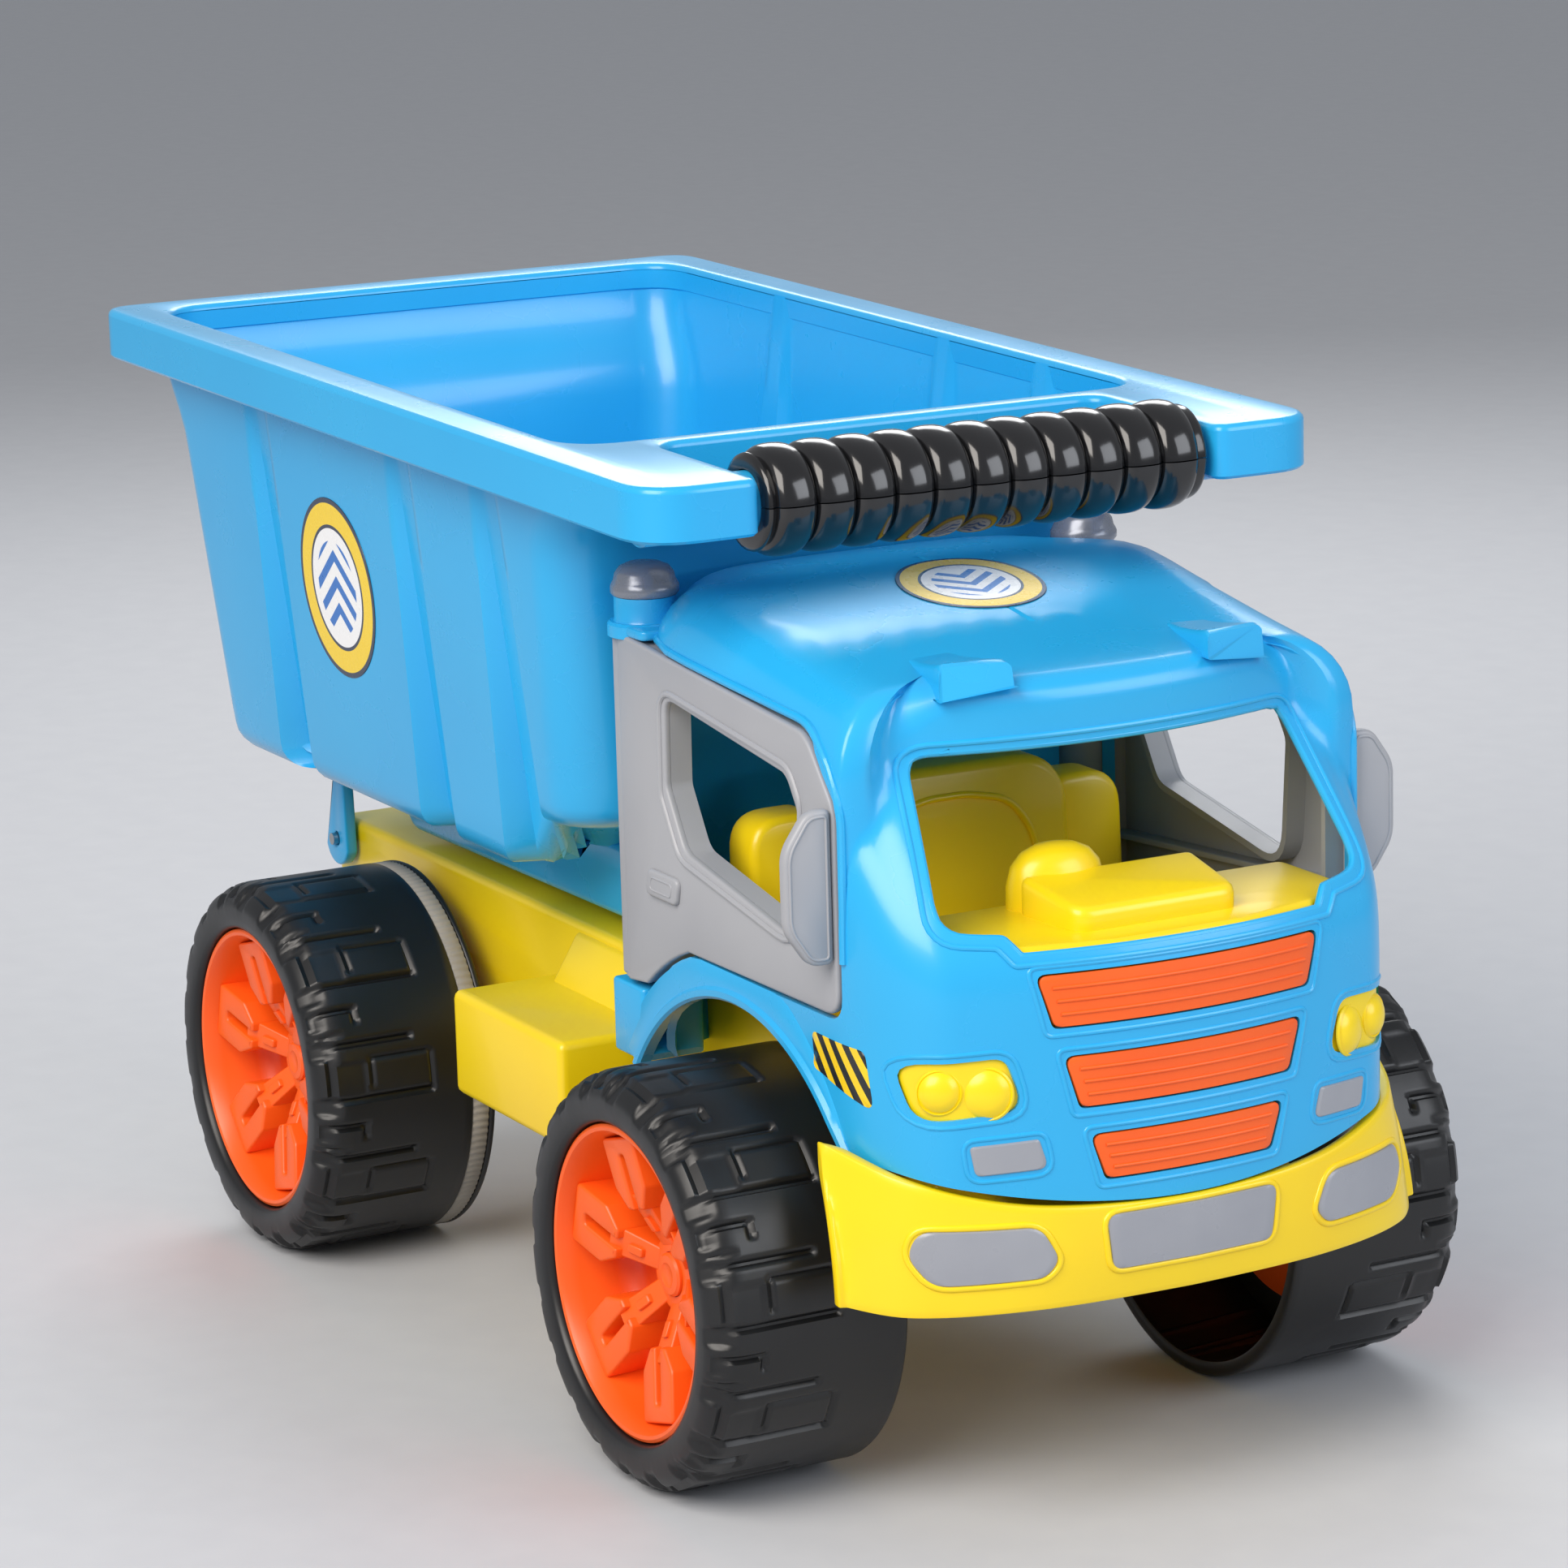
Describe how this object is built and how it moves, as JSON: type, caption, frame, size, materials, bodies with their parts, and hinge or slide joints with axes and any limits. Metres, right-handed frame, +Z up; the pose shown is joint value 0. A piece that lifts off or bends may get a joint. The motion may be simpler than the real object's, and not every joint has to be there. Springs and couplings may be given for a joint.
{
  "type": "toy dump truck",
  "caption": "Moulded plastic toy dump truck with a tipping bucket, ribbed lifting handle, opening cab doors, open cabin and free-rolling wide wheels.",
  "frame": {"origin": "on the ground, under the middle of the truck's length and width", "axes": "+X towards the cab's front, +Y to the truck's left, +Z up; the wheels turn about Y"},
  "size_m": [0.5086, 0.248, 0.292],
  "materials": {
    "yellow_plastic": "gloss",
    "blue_plastic": "gloss",
    "orange_plastic": "gloss",
    "black_plastic": "satin",
    "grip_rubber": "matt",
    "handle_black": "gloss",
    "grey_plastic": "satin",
    "lamp_grey": "satin",
    "cap_silver": "metallic satin",
    "steel": "plain",
    "sticker_print": "printed film"
  },
  "bodies": {
    "truck": {"chassis_frame": "yellow_plastic", "front_bumper": "yellow_plastic", "seat_unit": "yellow_plastic", "dashboard": "yellow_plastic", "headlight_left": "yellow_plastic", "headlight_right": "yellow_plastic", "cab_shell": "blue_plastic", "grille_insert": "orange_plastic", "marker_lamp_left": "lamp_grey", "marker_lamp_right": "lamp_grey", "bumper_lamp_left": "lamp_grey", "bumper_lamp_centre": "lamp_grey", "bumper_lamp_right": "lamp_grey", "exhaust_cap_left": "cap_silver", "exhaust_cap_right": "cap_silver", "axle_front": "steel", "axle_rear": "steel", "push_nuts": "steel", "hinge_pin": "steel", "chassis_screws": "steel", "roof_sticker": "sticker_print"},
    "bucket": {"dump_bucket": "blue_plastic", "handle_grip_upper": "handle_black", "handle_grip_lower": "handle_black", "bucket_sticker_left": "sticker_print", "bucket_sticker_right": "sticker_print"},
    "left_door": {"door_left": "grey_plastic", "mirror_left": "grey_plastic"},
    "right_door": {"door_right": "grey_plastic", "mirror_right": "grey_plastic"},
    "front_left_wheel": {"tyre_front_left": "black_plastic", "rim_front_left": "orange_plastic", "hub_cap_front_left": "orange_plastic"},
    "front_right_wheel": {"tyre_front_right": "black_plastic", "rim_front_right": "orange_plastic", "hub_cap_front_right": "orange_plastic"},
    "rear_left_wheel": {"tyre_rear_left": "black_plastic", "rim_rear_left": "orange_plastic", "hub_cap_rear_left": "orange_plastic", "grip_ring_rear_left": "grip_rubber"},
    "rear_right_wheel": {"tyre_rear_right": "black_plastic", "rim_rear_right": "orange_plastic", "hub_cap_rear_right": "orange_plastic", "grip_ring_rear_right": "grip_rubber"}
  },
  "joints": [
    {"name": "bucket_tilt", "type": "hinge", "parent": "truck", "child": "bucket", "pos_m": [-0.1903, 0, 0.1145], "axis": [0, -1, 0], "range_deg": [0, 50]},
    {"name": "left_door_hinge", "type": "hinge", "parent": "truck", "child": "left_door", "pos_m": [0.0755, 0.0738, 0.178], "axis": [0, 0, 1], "range_deg": [0, 70]},
    {"name": "right_door_hinge", "type": "hinge", "parent": "truck", "child": "right_door", "pos_m": [0.0755, -0.0738, 0.178], "axis": [0, 0, -1], "range_deg": [0, 70]},
    {"name": "front_left_wheel_spin", "type": "hinge", "parent": "truck", "child": "front_left_wheel", "pos_m": [0.1435, 0.094, 0.06], "axis": [0, 1, 0], "continuous": true},
    {"name": "front_right_wheel_spin", "type": "hinge", "parent": "truck", "child": "front_right_wheel", "pos_m": [0.1435, -0.094, 0.06], "axis": [0, 1, 0], "continuous": true},
    {"name": "rear_left_wheel_spin", "type": "hinge", "parent": "truck", "child": "rear_left_wheel", "pos_m": [-0.122, 0.094, 0.06], "axis": [0, 1, 0], "continuous": true},
    {"name": "rear_right_wheel_spin", "type": "hinge", "parent": "truck", "child": "rear_right_wheel", "pos_m": [-0.122, -0.094, 0.06], "axis": [0, 1, 0], "continuous": true}
  ]
}
